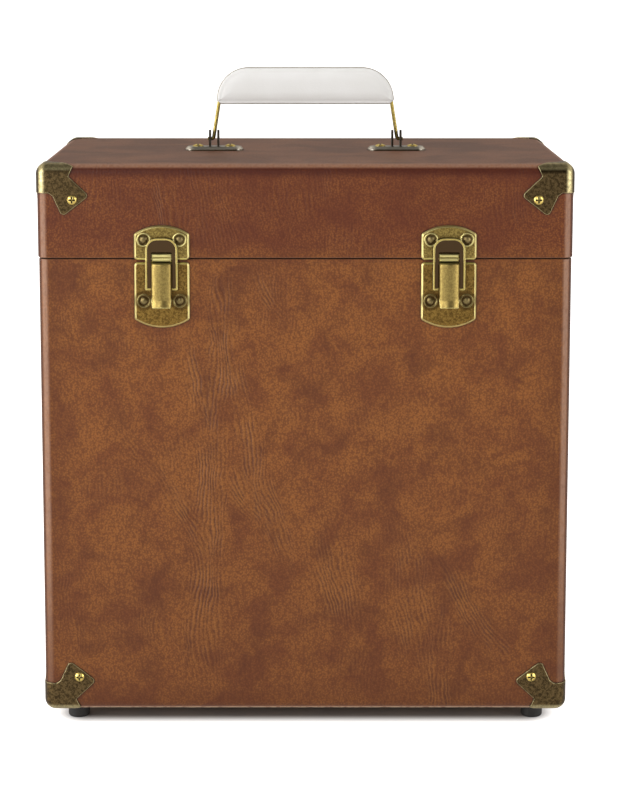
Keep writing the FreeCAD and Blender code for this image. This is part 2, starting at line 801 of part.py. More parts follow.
screws = []
for name, side in sides:
    make_bracket(name, side)
    for index, (spot, outward) in enumerate(bracket_spots[name]):
        screw = cross_screw(bracket_screw_head_radius, bracket_screw_head_height,
                            bracket_screw_shank_radius, bracket_screw_length,
                            cross_turn * (index + side))
        screws.append(seated(screw, spot + outward * bracket_height, outward))
save(Part.makeCompound(screws), "handle_bracket_screws")


# Handle wire and grip
def handle_path():
    """The bail's centre line: a tail through the outer ear, a leg, the arched top, and back."""
    level_z = handle_axis_z
    foot = wire_pivot_offset
    top = handle_axis_z + grip_top_rise - grip_margin - wire_radius
    knee = foot - wire_splay
    corners = [(-foot - wire_tail, level_z, 0), (-foot, level_z, wire_bend_radius),
               (-knee, top, wire_corner_radius), (knee, top, wire_corner_radius),
               (foot, level_z, wire_bend_radius), (foot + wire_tail, level_z, 0)]
    return corners


def open_path(corners, y):
    """A wire of straight runs and tangent arcs in the plane of one y."""
    spots = [Vector(x, y, z) for x, z, radius in corners]
    edges = []
    last = spots[0]
    for index in range(1, len(spots) - 1):
        corner = spots[index]
        radius = corners[index][2]
        before = (spots[index - 1] - corner).normalize()
        after = (spots[index + 1] - corner).normalize()
        half = before.getAngle(after) / 2
        trim = radius / math.tan(half)
        tip = corner + (before + after).normalize() * (radius / math.sin(half) - radius)
        edges.append(Part.makeLine(last, corner + before * trim))
        edges.append(Part.Arc(corner + before * trim, tip, corner + after * trim).toShape())
        last = corner + after * trim
    edges.append(Part.makeLine(last, spots[-1]))
    return Part.Wire(edges)


def make_handle():
    path = open_path(handle_path(), case_middle)
    start = path.Vertexes[0].Point
    ring = Part.Wire(Part.makeCircle(wire_radius, start, Vector(1, 0, 0)))
    wire = path.makePipeShell([ring], True, False)
    save(wire, "handle_wire")
    top = handle_axis_z + grip_top_rise
    low = top - grip_height
    run = wire_splay / (grip_top_rise - grip_margin - wire_radius)
    top_half = wire_pivot_offset - wire_splay + wire_radius + grip_margin
    low_half = top_half + run * grip_height
    corners = [(-low_half, low, grip_corner_radius), (-top_half, top, wire_corner_radius + grip_margin),
               (top_half, top, wire_corner_radius + grip_margin), (low_half, low, grip_corner_radius)]
    grip = upright_prism(corners, case_middle + grip_thickness / 2, case_middle - grip_thickness / 2)
    edges = [edge for edge in grip.Edges
             if abs(edge.Vertexes[0].Y - edge.Vertexes[-1].Y) < grip_edge_radius / 2]
    grip = grip.makeFillet(grip_edge_radius, edges)
    save(grip.cut(wire), "handle_grip")


make_handle()


# Hinges: leaves flat on the back of the lid and the body, knuckles on one pin
def make_hinge(name, side):
    middle = side * hinge_offset
    half = hinge_width / 2
    axis = Vector(0, hinge_axis, seam)
    inner = half - hinge_knuckle_width
    low_face = lid_back - lid_overhang
    leaf_low = hinge_knuckle_radius + hinge_leaf_gap

    def leaf(face, step):
        start = seam + step * leaf_low
        end = seam + step * hinge_leaf_height
        corners = [(middle - half, start, 0), (middle - half, end, hinge_leaf_radius),
                   (middle + half, end, hinge_leaf_radius), (middle + half, start, 0)]
        return upright_prism(corners, face, face + hinge_leaf_thickness)

    def knuckle(x0, x1, face, step):
        barrel = rod(axis + Vector(x0, 0, 0), axis + Vector(x1, 0, 0), hinge_knuckle_radius)
        tab_ends = sorted([seam, seam + step * (leaf_low + hinge_leaf_thickness)])
        tab = block(x0, x1, face, face + hinge_leaf_thickness, tab_ends[0], tab_ends[1])
        return barrel.fuse(tab)

    bore = rod(axis + Vector(middle - hinge_width, 0, 0), axis + Vector(middle + hinge_width, 0, 0),
               hinge_pin_radius)
    body_leaf = leaf(low_face, -1)
    body_leaf = body_leaf.fuse(knuckle(middle - half, middle - inner, low_face, -1))
    body_leaf = body_leaf.fuse(knuckle(middle + inner, middle + half, low_face, -1))
    lid_leaf = leaf(lid_back, 1)
    reach = inner - hinge_knuckle_gap
    lid_leaf = lid_leaf.fuse(knuckle(middle - reach, middle + reach, lid_back, 1))
    heel = block(middle - hinge_heel_width / 2, middle + hinge_heel_width / 2, hinge_axis,
                 hinge_axis + hinge_heel_reach, seam - heel_lean, seam + heel_lean)
    heel.rotate(axis, Vector(1, 0, 0), heel_rise_angle)
    lid_leaf = lid_leaf.fuse(heel)
    wide_bore = rod(axis + Vector(middle - hinge_width, 0, 0), axis + Vector(middle + hinge_width, 0, 0),
                    hinge_pin_radius + pivot_clearance)
    body_leaf = drilled(body_leaf.cut(bore), [(spot + outward * overrun, outward, rivet_shank_radius,
                                               2 * overrun) for spot, outward in hinge_body_spots[name]])
    lid_leaf = drilled(lid_leaf.cut(wide_bore), [(spot + outward * overrun, outward, rivet_shank_radius,
                                                  2 * overrun) for spot, outward in hinge_lid_spots[name]])
    save(body_leaf.removeSplitter(), "hinge_body_leaf_" + name)
    save(lid_leaf.removeSplitter(), "hinge_lid_leaf_" + name)
    save(rod(axis + Vector(middle - half, 0, 0), axis + Vector(middle + half, 0, 0), hinge_pin_radius),
         "hinge_pin_" + name)
    make_rivets(hinge_body_spots[name], hinge_leaf_thickness, rivet_depth, "hinge_body_rivets_" + name)
    make_rivets(hinge_lid_spots[name], hinge_leaf_thickness, rivet_depth, "hinge_lid_rivets_" + name)


for name, side in sides:
    make_hinge(name, side)
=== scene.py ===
import math

import bpy
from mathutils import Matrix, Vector


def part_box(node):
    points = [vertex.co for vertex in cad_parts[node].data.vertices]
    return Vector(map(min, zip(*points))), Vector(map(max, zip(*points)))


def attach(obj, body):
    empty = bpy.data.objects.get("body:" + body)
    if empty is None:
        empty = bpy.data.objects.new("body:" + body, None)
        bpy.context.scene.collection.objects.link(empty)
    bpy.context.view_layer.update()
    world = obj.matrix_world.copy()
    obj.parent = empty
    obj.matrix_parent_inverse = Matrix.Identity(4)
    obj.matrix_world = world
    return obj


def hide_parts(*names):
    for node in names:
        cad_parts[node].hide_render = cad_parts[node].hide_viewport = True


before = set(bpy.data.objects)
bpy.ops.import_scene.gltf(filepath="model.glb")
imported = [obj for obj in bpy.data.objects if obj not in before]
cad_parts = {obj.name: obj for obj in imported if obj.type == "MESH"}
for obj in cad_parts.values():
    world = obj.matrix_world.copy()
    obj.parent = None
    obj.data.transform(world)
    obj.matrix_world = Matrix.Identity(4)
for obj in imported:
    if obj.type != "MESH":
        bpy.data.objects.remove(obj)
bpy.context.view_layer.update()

MM = 0.001

# Camera, fitted to the photograph's corners
IMAGE_WIDTH, IMAGE_HEIGHT = 617, 800
CENTRE_PIXEL = (305.3, 240.0)
FOCAL_PIXELS = 2159.3
SENSOR = 36.0
CAMERA_PLACE = (0.0, -1.4545, 0.4997)
CAMERA_PITCH = math.radians(7.582)

# Places of CAD nodes that the materials refer to, metres: heights of the lid's top, the seam and the tops
# of the brackets' plates, the fronts of the strikes' hooks and the loops' beads, and the levers' middle in
# |x| and half-width
lid_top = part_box("lid_covering")[1].z
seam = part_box("body_covering")[1].z + 0.25 * MM
bracket_top = lid_top + 2.6 * MM
hook_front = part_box("latch_strike_left")[0].y
bead_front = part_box("latch_loop_left")[0].y
lever_low, lever_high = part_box("latch_lever_left")
lever_middle = abs(lever_low.x + lever_high.x) / 2
lever_half = (lever_high.x - lever_low.x) / 2

# Where the leather is creased, read off the photograph: middle and half-size in x and z, metres,
# how far the creases lean from upright, degrees, and how strong they are
CREASED = [
    ((-0.055, 0.252), (0.012, 0.055), 0.0, 1.0),
    ((-0.072, 0.228), (0.007, 0.035), 14.0, 1.0),
    ((-0.060, 0.165), (0.013, 0.075), 0.0, 1.0),
    ((-0.039, 0.197), (0.009, 0.055), 14.0, 1.0),
    ((-0.022, 0.150), (0.012, 0.045), 14.0, 1.0),
    ((-0.032, 0.152), (0.012, 0.030), 34.0, 1.0),
    ((-0.088, 0.151), (0.008, 0.048), 34.0, 1.0),
    ((-0.020, 0.278), (0.006, 0.024), 34.0, 1.0),
    ((-0.065, 0.080), (0.014, 0.050), 0.0, 1.0),
    ((0.090, 0.045), (0.010, 0.042), 0.0, 1.0),
    ((0.113, 0.071), (0.010, 0.046), 34.0, 1.0),
    ((0.070, 0.080), (0.018, 0.050), 14.0, 1.0),
    ((0.020, 0.105), (0.018, 0.045), 14.0, 1.0),
    ((-0.090, 0.336), (0.009, 0.026), 14.0, 0.6),
    ((-0.035, 0.336), (0.060, 0.024), 14.0, 0.35),
]
LEANS = (0.0, 14.0, 34.0)
# The distance between creases, how many such distances they sway sideways, and the size of a sway across
# and along them, metres
CREASE_SPACING = 0.0025
CREASE_SWAY = 5.0
SWAY_ACROSS, SWAY_ALONG = 0.016, 0.045
# How creases wander, slowly and quickly: scale and detail of the noise that moves them, and how far, metres
WANDERS = ((13.0, 1.5, 0.018), (120.0, 2.0, 0.0030))
# Within one spacing, from 0 to 1: where the furrow and the crest begin, are full, fade and are gone
FURROW_BAND = (0.0, 0.16, 0.16, 0.42)
CREST_BAND = (0.34, 0.58, 0.60, 0.95)

# Heights on the case, metres, over which the look changes: shade of the leather's lower half, darker shade
# and scuffs of its foot, the painted highlight on its upright bends, the lid, and the painted highlight on
# the upright bends of the upper caps
FOOT_SHADE, FOOT_DARK, SCUFF_END = (0.02, 0.20), (0.012, 0.055), (0.0111, 0.0117)
BEND_HIGHLIGHT_HEIGHTS, LID_START, CAP_HIGHLIGHT_HEIGHTS = (0.02, 0.16), (0.30, 0.32), (0.15, 0.25)
# Heights at which the painted shade band under the top's bend begins, is full, fades and is gone, on the
# leather and on the caps
LEATHER_UNDER_BEND = [lid_top - depth for depth in (0.0105, 0.0044, 0.0034, 0.0012)]
CAP_UNDER_BEND = [lid_top - depth for depth in (0.0062, 0.0044, 0.0026, 0.0016)]
# Distances from the middle, metres, over which painted shade darkens the leather towards its sides
SHADE_OUTWARD = (0.135, 0.166)
# How far a face faces upward, from 0 to 1, as it turns into flat top
FLAT_TOP = (0.95, 0.99)
# Heights of the leather's pebbles, fine grain, crease lines and ridges, and of the metals' and the grip's
# grain, metres
PEBBLES, FINE_GRAIN, LINES, RIDGES = -0.00005, 0.00007, -0.00026, 0.00012
METAL_GRAIN, GRIP_GRAIN = 0.00003, -0.00003

# Widths of borders between looks, metres
SHARP, SOFT, BLURRED = 0.0002, 0.0004, 0.0006
# A wide hollow of the metals: its reach, and how far it is shut and clear
WIDE_HOLLOW = (0.0065, 0.45, 0.98)
# Distances outside a rivet, metres, over which its dark ring, the dull field and the dull edges end
RING_END, DULL_END, DULL_EDGES = (0.0006, 0.0020), (0.0032, 0.0044), (0.0004, 0.0040)
# How alike the rounded and the flat normal are, on an edge and off it
ON_EDGE, OFF_EDGE = 0.86, 0.995
# Rays of each hollow and each rounded edge
RAYS = 6

# The grip's outline: radii of its upper and lower corners, and how far its ends lean in for each unit up
GRIP_ARC, GRIP_LOW_ARC = 21.6 * MM, 4.0 * MM
GRIP_SLOPE = 7.3 / 46.5
# Radii of the bead round the wire and of the hem below, how far inside them the pad is thickest, the depth
# and width of the groove beside them, and the width of the rim painted darker as shade
BEAD, HEM, PAD_REACH = 2.2 * MM, 1.6 * MM, 7.0 * MM
GROOVE_DEPTH, GROOVE_WIDTH = 0.18 * MM, 0.7 * MM
RIM_WIDTH = 0.5 * MM
# Fineness of the grip's mesh
ARC_STEPS, COLUMNS, ROWS = 28, 150, 40

# Soft boxes: name, place, the point that they face, width, height and power
SOFT_BOXES = [
    ("soft_box_left", (-1.6, -0.9, 0.6), (0.0, 0.0, 0.2), 0.7, 1.4, 22.0),
    ("soft_box_right", (1.6, -0.9, 0.6), (0.0, 0.0, 0.2), 0.6, 1.4, 14.0),
    ("soft_box_front", (-0.75, -1.9, 1.15), (0.0, 0.0, 0.25), 0.45, 1.3, 12.0),
]
# The surround's brightness at the left, right, front and back, over the horizon and overhead, and its tint
LEFT_GLOW, RIGHT_GLOW = 1.0, 0.62
FRONT_GLOW, BACK_GLOW = 0.06, 0.52
UPPER_GLOW, OVERHEAD = 0.28, 0.15
WARM = (1.0, 0.955, 0.90, 1.0)
WHITE = (1.0, 1.0, 1.0, 1.0)

# The floor: its radius, its corners, how far its shadow starts inside the case's outline, the distance
# from there over which the shadow fades, its colours, and its glow in reflections
FLOOR_RADIUS, FLOOR_CORNERS = 60, 64
SHADOW_INSET = 0.026
SHADOW_FADE = (0.006, 0.028)
SHADOWED, FLOOR_WHITE = (0.30, 0.28, 0.27, 1.0), (0.80, 0.80, 0.80, 1.0)
REFLECTED_GLOW = 0.30


def srgb(red, green, blue):
    """An sRGB colour in 0 to 255 as the linear colour that the shaders take."""
    parts = [value / 255 for value in (red, green, blue)]
    return (*[p / 12.92 if p <= 0.04045 else ((p + 0.055) / 1.055) ** 2.4 for p in parts], 1.0)


# Colours of the leather's marks; many are painted light and shade: highlights on crease ridges and along
# the bends, reflection on the top, and shade in crease lines, under the top's bend, on the sides and in
# hollows
LID_RED = srgb(96, 20, 10)
RIDGE_HIGHLIGHT, LINE_SHADE = srgb(158, 104, 48), srgb(66, 32, 18)
TOP_REFLECTION, TOP_CLOUD = srgb(176, 134, 104), srgb(58, 34, 24)
UNDER_BEND_SHADE, SIDE_SHADE, BEND_HIGHLIGHT = srgb(60, 16, 4), srgb(60, 30, 16), srgb(192, 154, 130)
HOLLOW_SHADE, SCUFF_PALE = srgb(30, 14, 8), srgb(214, 186, 156)
# Colours of the metals' marks, all painted shade: below the caps' top bend, on the caps' sides, in the
# patch seen through the loop and in crevices
CAP_UNDER_SHADE, CAP_SIDE_SHADE = srgb(40, 31, 18), srgb(52, 40, 24)
WINDOW_SHADE, CREVICE_SHADE = srgb(24, 17, 10), srgb(26, 19, 10)


class Tree:
    """A material whose nodes are added one call at a time."""

    def __init__(self, name):
        self.material = bpy.data.materials.new(name)
        self.material.use_nodes = True
        self.nodes = self.material.node_tree.nodes
        self.links = self.material.node_tree.links
        self.shader = self.nodes["Principled BSDF"]
        self.coordinates = self.nodes.new("ShaderNodeTexCoord")
        self.place = self.coordinates.outputs["Object"]

    def put(self, socket, value):
        if isinstance(value, bpy.types.NodeSocket):
            self.links.new(value, socket)
        else:
            socket.default_value = value

    def add(self, kind, inputs, **settings):
        node = self.nodes.new("ShaderNode" + kind)
        for name, value in settings.items():
            setattr(node, name, value)
        for key, value in inputs.items():
            self.put(node.inputs[key], value)
        return node

    def math(self, operation, first, second=0.0, third=0.0):
        return self.add("Math", {0: first, 1: second, 2: third}, operation=operation).outputs[0]

    def times(self, first, second):
        return self.math("MULTIPLY", first, second)

    def larger(self, first, second):
        return self.math("MAXIMUM", first, second)

    def vector(self, operation, inputs):
        return self.add("VectorMath", inputs, operation=operation).outputs["Vector"]

    def scaled(self, scale, vector=None):
        return self.vector("MULTIPLY", {0: vector or self.place, 1: scale})

    def turned(self, vector, degrees):
        """A vector turned about the y axis."""
        inputs = {"Vector": vector, "Angle": math.radians(degrees)}
        return self.add("VectorRotate", inputs, rotation_type="Y_AXIS").outputs["Vector"]

    def axis(self, name, vector=None):
        return self.add("SeparateXYZ", {0: vector or self.place}).outputs[name]

    def beside(self, middle):
        """Distance in x, with its sign, from the line where |x| is middle."""
        return self.math("SUBTRACT", self.math("ABSOLUTE", self.axis("X")), middle)

    def facing(self, names):
        """How far the surface faces along each named axis, without sign."""
        parts = self.add("SeparateXYZ", {0: self.coordinates.outputs["Normal"]}).outputs
        return [self.math("ABSOLUTE", parts[name]) for name in names]

    def noise(self, scale, detail=2.0, roughness=0.5, distortion=0.0, vector=None):
        inputs = {"Vector": vector or self.place, "Scale": scale, "Detail": detail,
                  "Roughness": roughness, "Distortion": distortion}
        return self.add("TexNoise", inputs).outputs["Fac"]

    def cells(self, scale):
        """Distance from the middle of the nearest of many small cells."""
        inputs = {"Vector": self.place, "Scale": scale}
        return self.add("TexVoronoi", inputs, feature="F1").outputs["Distance"]

    def step(self, value, low, high, to_low=0.0, to_high=1.0):
        """A smooth step of value from low to high."""
        inputs = {"Value": value, "From Min": low, "From Max": high,
                  "To Min": to_low, "To Max": to_high}
        return self.add("MapRange", inputs, interpolation_type="SMOOTHSTEP").outputs["Result"]

    def band(self, value, low, full, fading, gone):
        """A share that rises as value goes from low to full, and falls again from fading to gone."""
        return self.times(self.step(value, low, full), self.step(value, fading, gone, 1.0, 0.0))

    def mix(self, share, first, second):
        node = self.nodes.new("ShaderNodeMix")
        node.data_type = "RGBA"
        self.put(node.inputs[0], share)
        self.put(node.inputs[6], first)
        self.put(node.inputs[7], second)
        return node.outputs[2]

    def bump(self, height, normal=None):
        """A bump whose height is in metres."""
        inputs = {"Height": height, "Strength": 1.0, "Distance": 1.0}
        if normal:
            inputs["Normal"] = normal
        return self.add("Bump", inputs).outputs["Normal"]

    def hollow(self, reach, shut=0.35, clear=0.85):
        """Share, 0 to 1, of lying in a hollow or against a neighbour, out to a reach in metres."""
        seen = self.add("AmbientOcclusion", {"Distance": reach}, samples=RAYS).outputs["AO"]
        return self.step(seen, shut, clear, 1.0, 0.0)

    def edge(self, radius):
        """Share, 0 to 1, of lying on a sharp edge, and the normal rounded over such edges."""
        rounded = self.add("Bevel", {"Radius": radius}, samples=RAYS).outputs["Normal"]
        flat = self.nodes.new("ShaderNodeNewGeometry").outputs["Normal"]
        alike = self.add("VectorMath", {0: rounded, 1: flat}, operation="DOT_PRODUCT").outputs["Value"]
        return self.step(alike, ON_EDGE, OFF_EDGE, 1.0, 0.0), rounded

    def finish(self, **values):
        for name, value in values.items():
            self.put(self.shader.inputs[name.replace("_", " ")], value)
        return self.material


def crease_net(tree, bent, lean):
    """Wavy lines side by side, leaning from upright, as a share from 0 to 1 between one and the next."""
    turned = tree.turned(bent, lean)
    size = tree.scaled((1 / SWAY_ACROSS, 1 / SWAY_ACROSS, 1 / SWAY_ALONG), turned)
    sway = tree.noise(1.0, detail=1.0, roughness=0.4, vector=size)
    lines = tree.math("MULTIPLY_ADD", tree.axis("X", turned), 1 / CREASE_SPACING,
                      tree.times(sway, CREASE_SWAY))
    return tree.math("FRACT", lines)


def creased(tree, bent, lean):
    """Share, 0 to 1, of lying in a bundle of creases of that lean."""
    where = 0.0
    for (x, z), (half_x, half_z), own_lean, strength in CREASED:
        if own_lean != lean:
            continue
        off = tree.vector("SUBTRACT", {0: bent, 1: (x, 0.0, z)})
        off = tree.scaled((1 / half_x, 0.0, 1 / half_z), tree.turned(off, own_lean))
        far = tree.add("VectorMath", {0: off}, operation="LENGTH").outputs["Value"]
        where = tree.larger(where, tree.step(far, 0.35, 1.35, strength, 0.0))
    return where


def creases(tree):
    """Shares, 0 to 1, of crease lines and of the ridges between them."""
    bent = tree.place
    for scale, detail, amount in WANDERS:
        wander = tree.add("TexNoise", {"Vector": tree.place, "Scale": scale, "Detail": detail})
        off = tree.vector("SUBTRACT", {0: wander.outputs["Color"], 1: (0.5, 0.5, 0.5)})
        off = tree.vector("SCALE", {0: off, "Scale": amount})
        bent = tree.vector("ADD", {0: bent, 1: off})
    spots = tree.step(tree.noise(34.0), 0.40, 0.58, 0.45, 1.0)
    breaks = tree.noise(1.0, vector=tree.scaled((190.0, 190.0, 42.0)))
    gaps = tree.step(breaks, 0.38, 0.56, 0.40, 1.0)
    line = ridge = 0.0
    for lean in LEANS:
        where = tree.times(creased(tree, bent, lean), spots)
        if lean == LEANS[0]:
            faint = tree.step(tree.noise(21.0), 0.50, 0.66, 0.05, 0.30)
            where = tree.larger(where, faint)
        far = crease_net(tree, bent, lean)
        furrow = tree.band(far, *FURROW_BAND)
        crest = tree.band(far, *CREST_BAND)
        kept = tree.times(where, gaps)
        line = tree.larger(line, tree.times(furrow, kept))
        ridge = tree.larger(ridge, tree.times(crest, kept))
    return line, ridge


def leather(name, tan, brown, deep):
    """Mottled leatherette with pebble grain and creases, with painted highlights along its bends, and
    scuffed at its foot.
    """
    tree = Tree(name)
    height = tree.axis("Z")
    lid = tree.step(height, *LID_START)

    # Soft patches and blots, darker shades at the foot and on the lid, and painted shade towards the sides
    patches = tree.math("ADD", tree.times(tree.noise(32.0, 3.0, distortion=0.6), 0.72),
                        tree.times(tree.noise(90.0, 3.0, distortion=0.6), 0.28))
    colour = tree.mix(tree.step(patches, 0.36, 0.60), brown, tan)
    blots = tree.step(tree.noise(48.0, 3.0, distortion=0.8), 0.50, 0.72, 0.0, 0.42)
    colour = tree.mix(blots, colour, deep)
    shaded = tree.larger(tree.step(height, *FOOT_SHADE, 0.20, 0.0), tree.times(lid, 0.36))
    shaded = tree.larger(shaded, tree.step(height, *FOOT_DARK, 0.42, 0.0))
    # Painted shade: the leather darkens near its left and right edges
    outward_shade = tree.step(tree.math("ABSOLUTE", tree.axis("X")), *SHADE_OUTWARD, 0.0, 0.30)
    colour = tree.mix(tree.larger(shaded, outward_shade), colour, deep)

    # Grain, stronger on the lid, and creases, with painted highlight on their ridges and painted shade in
    # their lines
    line, ridge = creases(tree)
    pebble = tree.step(tree.cells(820.0), 0.15, 0.75)
    fine = tree.noise(520.0, 3.0, 0.66, vector=tree.scaled((1.2, 1.2, 0.60)))
    shade = tree.math("MULTIPLY_ADD", pebble, 0.30, tree.times(fine, 0.70))
    grain = tree.times(tree.step(shade, 0.26, 0.76, 0.12, 0.68), tree.step(height, *LID_START, 1.0, 1.30))
    colour = tree.mix(grain, colour, deep)
    colour = tree.mix(tree.times(lid, 0.16), colour, LID_RED)
    # Painted highlight on the crease ridges and painted shade in the crease lines
    colour = tree.mix(tree.times(ridge, 0.32), colour, RIDGE_HIGHLIGHT)
    colour = tree.mix(tree.times(line, 0.46), colour, LINE_SHADE)

    # Paler on the top as painted reflection, and clouded there; painted shade just below its bend and at
    # the very sides
    sideways, upward = tree.facing("XZ")
    flat = tree.step(upward, *FLAT_TOP)
    # Painted reflection: the flat top made paler
    colour = tree.mix(tree.times(flat, 0.28), colour, TOP_REFLECTION)
    clouds = tree.step(tree.noise(24.0, 3.0, distortion=0.6), 0.36, 0.68, 0.10, 0.50)
    colour = tree.mix(tree.times(clouds, flat), colour, TOP_CLOUD)
    below = tree.band(height, *LEATHER_UNDER_BEND)
    # Painted shade in a band just below the top's bend
    colour = tree.mix(tree.times(below, 0.78), colour, UNDER_BEND_SHADE)
    # Painted shade on faces turned sideways
    colour = tree.mix(tree.step(sideways, 0.64, 0.82, 0.0, 0.62), colour, SIDE_SHADE)

    # Painted highlight where it bends round the upright edges and over the front and back of the top
    bend_highlight = tree.band(sideways, 0.04, 0.26, 0.58, 0.74)
    bend_highlight = tree.times(bend_highlight, tree.step(height, *BEND_HIGHLIGHT_HEIGHTS, 0.30, 1.0))
    over = tree.band(upward, 0.50, 0.80, 0.980, 0.998)
    bend_highlight = tree.larger(tree.times(bend_highlight, 0.85), tree.times(over, 0.8))
    bend_highlight = tree.times(bend_highlight, tree.step(fine, 0.30, 0.60, 0.28, 0.46))
    colour = tree.mix(bend_highlight, colour, BEND_HIGHLIGHT)

    # Painted shade in its hollows and against neighbours, scuffed at its foot
    colour = tree.mix(tree.hollow(0.0030, 0.40, 0.95), colour, HOLLOW_SHADE)
    scuff = tree.times(tree.step(height, *SCUFF_END, 1.0, 0.0),
                       tree.step(tree.noise(260.0, 3.0, 0.6), 0.40, 0.52))
    colour = tree.mix(scuff, colour, SCUFF_PALE)

    bumps = tree.times(pebble, PEBBLES)
    bumps = tree.math("MULTIPLY_ADD", fine, FINE_GRAIN, bumps)
    bumps = tree.math("MULTIPLY_ADD", line, LINES, bumps)
    bumps = tree.math("MULTIPLY_ADD", ridge, RIDGES, bumps)
    rough = tree.math("MULTIPLY_ADD", fine, 0.14, tree.step(upward, *FLAT_TOP, 0.38, 0.48))
    return tree.finish(Base_Color=colour, Roughness=rough, Normal=tree.bump(bumps),
                       Specular_IOR_Level=0.24)


def paint_cap_light_and_shade(tree, colour, bright, mottle, share):
    """A cap's colour, with painted highlights along its bends and painted shade below the top bend and
    where it faces sideways.
    """
    across, upward = tree.facing("XZ")
    height = tree.axis("Z")
    below = tree.band(height, *CAP_UNDER_BEND)
    colour = tree.mix(tree.times(below, 0.8), colour, CAP_UNDER_SHADE)
    colour = tree.mix(tree.step(across, 0.66, 0.86, 0.0, 0.7), colour, CAP_SIDE_SHADE)
    upright = tree.band(across, 0.10, 0.35, 0.62, 0.80)
    upright = tree.times(upright, tree.step(height, *CAP_HIGHLIGHT_HEIGHTS))
    over = tree.band(upward, 0.30, 0.60, 0.975, 0.998)
    both = tree.larger(upright, tree.times(over, 0.75))
    both = tree.times(both, tree.step(mottle, 0.40, 0.60, share, share * 0.55))
    return tree.mix(both, colour, bright)


def darken_window(tree, colour, middle, half, low, high):
    """The colour, nearly black as painted shade in the patch seen only through the loop."""
    inside = tree.step(tree.math("ABSOLUTE", tree.beside(middle)), half, half + SOFT, 1.0, 0.0)
    inside = tree.times(inside, tree.step(tree.axis("Z"), low, low + SHARP))
    inside = tree.times(inside, tree.step(tree.axis("Z"), high, high + SOFT, 0.92, 0.0))
    return tree.mix(inside, colour, WINDOW_SHADE)


def ring_rivets(tree, colour, dark, edge, middle, height, apart, radius, dull):
    """The colour and the share of edges, darker and duller in rings round the rivets."""
    off = tree.math("SUBTRACT", tree.math("ABSOLUTE", tree.beside(middle)), apart)
    rise = tree.math("SUBTRACT", tree.axis("Z"), height)
    far = tree.math("SQRT", tree.math("ADD", tree.times(off, off), tree.times(rise, rise)))
    past = tree.math("SUBTRACT", far, radius)
    colour = tree.mix(tree.times(tree.step(past, *RING_END, 1.0, 0.0), 0.75), colour, dark)
    colour = tree.mix(tree.step(past, *DULL_END, dull, 0.0), colour, dark)
    return colour, tree.times(edge, tree.step(past, *DULL_EDGES, 0.15, 1.0 - dull))


